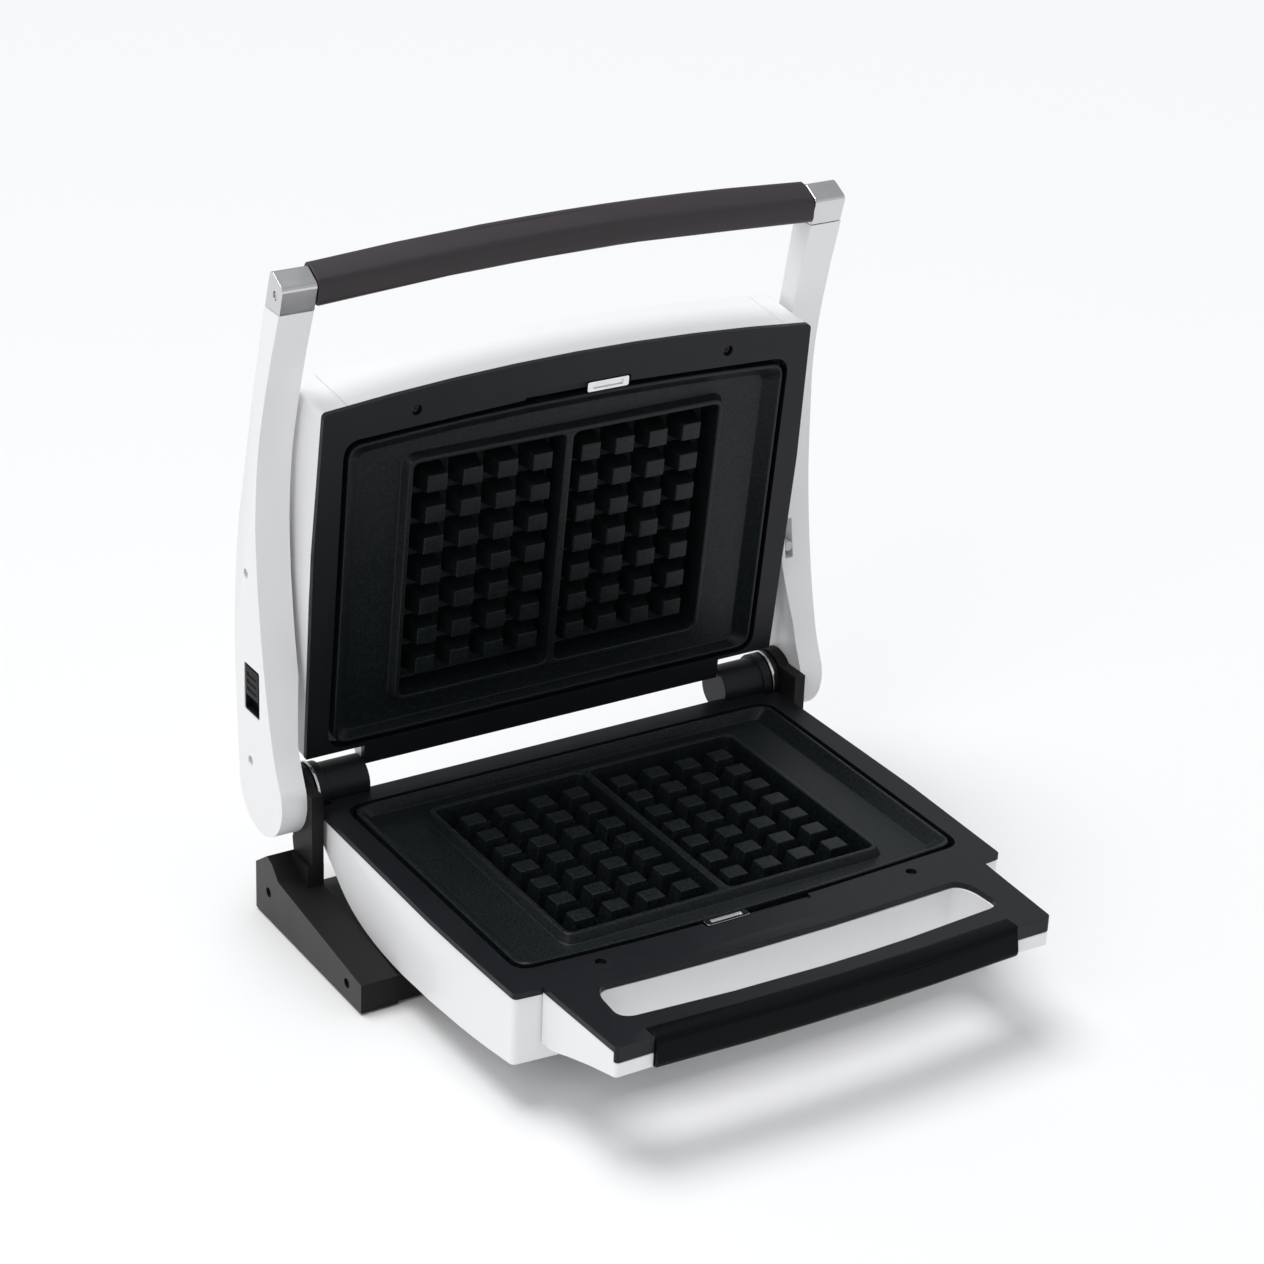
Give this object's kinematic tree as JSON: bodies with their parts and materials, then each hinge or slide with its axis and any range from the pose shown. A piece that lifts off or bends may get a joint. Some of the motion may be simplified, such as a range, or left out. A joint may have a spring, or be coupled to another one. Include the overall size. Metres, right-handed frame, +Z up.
{
  "type": "waffle maker",
  "caption": "Hinged waffle maker: lower half on a wedge stand with a front slot handle, lid carried between two curved arms under a bowed grip.",
  "frame": {"origin": "centre of the whole part's footprint box, on the surface it stands on", "axes": "+X to the right seen from the front handle, +Y to the back where the hinge is, +Z up"},
  "size_m": [0.408, 0.3964, 0.447],
  "materials": {
    "white_moulding": "satin-gloss white moulding",
    "black_moulding": "fine-grained matte black moulding",
    "plate_coating": "cast aluminium with a dark non-stick coating",
    "upper_grip_plastic": "charcoal soft-matte moulding",
    "front_grip_plastic": "satin black moulding",
    "stand_plastic": "fine-grained anthracite moulding",
    "chrome": "polished plating",
    "steel": "bright steel",
    "cap_metal": "satin metal cap",
    "sheet_aluminium": "mill-finish sheet",
    "rubber": "soft matte rubber",
    "pale_moulding": "pale natural moulding"
  },
  "bodies": {
    "base": {"lower_housing": "white_moulding", "lower_bezel": "black_moulding", "lower_heating_element": "steel", "lower_heat_shield": "sheet_aluminium", "cord_gland": "rubber", "front_handle_shell": "white_moulding", "front_handle_plate": "black_moulding", "front_grip": "front_grip_plastic", "stand_crossbar": "stand_plastic", "thermostat": "pale_moulding", "terminal_block": "pale_moulding", "left_stand_foot": "stand_plastic", "left_foot_screw_front": "steel", "left_foot_screw_rear": "steel", "left_foot_pad_front": "rubber", "left_foot_pad_rear": "rubber", "left_front_leg": "stand_plastic", "left_hinge_barrel": "black_moulding", "left_hinge_washer": "chrome", "left_hinge_disc": "black_moulding", "left_hinge_shaft": "steel", "right_stand_foot": "stand_plastic", "right_foot_screw_front": "steel", "right_foot_screw_rear": "steel", "right_foot_pad_front": "rubber", "right_foot_pad_rear": "rubber", "right_front_leg": "stand_plastic", "right_hinge_barrel": "black_moulding", "right_hinge_washer": "chrome", "right_hinge_disc": "black_moulding", "right_hinge_shaft": "steel"},
    "arms": {"left_arm": "white_moulding", "left_arm_cap": "cap_metal", "left_cap_screw": "steel", "left_pivot_pin": "chrome", "left_arm_screw_upper": "steel", "left_arm_screw_lower": "steel", "right_arm": "white_moulding", "right_arm_cap": "cap_metal", "right_cap_screw": "steel", "right_pivot_pin": "chrome", "right_arm_screw_upper": "steel", "right_arm_screw_lower": "steel", "upper_grip": "upper_grip_plastic", "upper_handle_tube": "steel", "release_slide_bed": "black_moulding", "float_stop": "pale_moulding"},
    "lid": {"upper_housing": "white_moulding", "upper_bezel": "black_moulding", "upper_heating_element": "steel", "upper_heat_shield": "sheet_aluminium", "left_lid_trim": "white_moulding", "right_lid_trim": "white_moulding"},
    "lower_plate": {"lower_waffle_plate": "plate_coating"},
    "upper_plate": {"upper_waffle_plate": "plate_coating"},
    "lower_catch": {"lower_plate_catch": "chrome"},
    "upper_catch": {"upper_plate_catch": "chrome"},
    "release": {"release_slide": "front_grip_plastic"}
  },
  "joints": [
    {"name": "lid_hinge", "type": "hinge", "parent": "base", "child": "arms", "pos_m": [0, 0.15558, 0.0845], "axis": [1, 0, 0], "range_deg": [-95.7, 84.3]},
    {"name": "lid_float", "type": "hinge", "parent": "arms", "child": "lid", "pos_m": [0, 0.17208, 0.236], "axis": [1, 0, 0], "range_deg": [-4, 0]},
    {"name": "lower_plate_lift", "type": "slide", "parent": "base", "child": "lower_plate", "axis": [0, 0, -1], "range_m": [-0.03, 0]},
    {"name": "upper_plate_lift", "type": "slide", "parent": "lid", "child": "upper_plate", "axis": [0, 0.9951, 0.0993], "range_m": [-0.03, 0]},
    {"name": "lower_catch_slide", "type": "slide", "parent": "base", "child": "lower_catch", "axis": [1, 0, 0], "range_m": [0, 0.008], "stiffness_N_per_m": 300, "springref_m": -0.003},
    {"name": "upper_catch_slide", "type": "slide", "parent": "lid", "child": "upper_catch", "axis": [-1, 0, 0], "range_m": [0, 0.008], "stiffness_N_per_m": 300, "springref_m": -0.003},
    {"name": "release_slide_travel", "type": "slide", "parent": "arms", "child": "release", "axis": [0, 0, -1], "range_m": [0, 0.01], "stiffness_N_per_m": 300, "springref_m": -0.003}
  ]
}
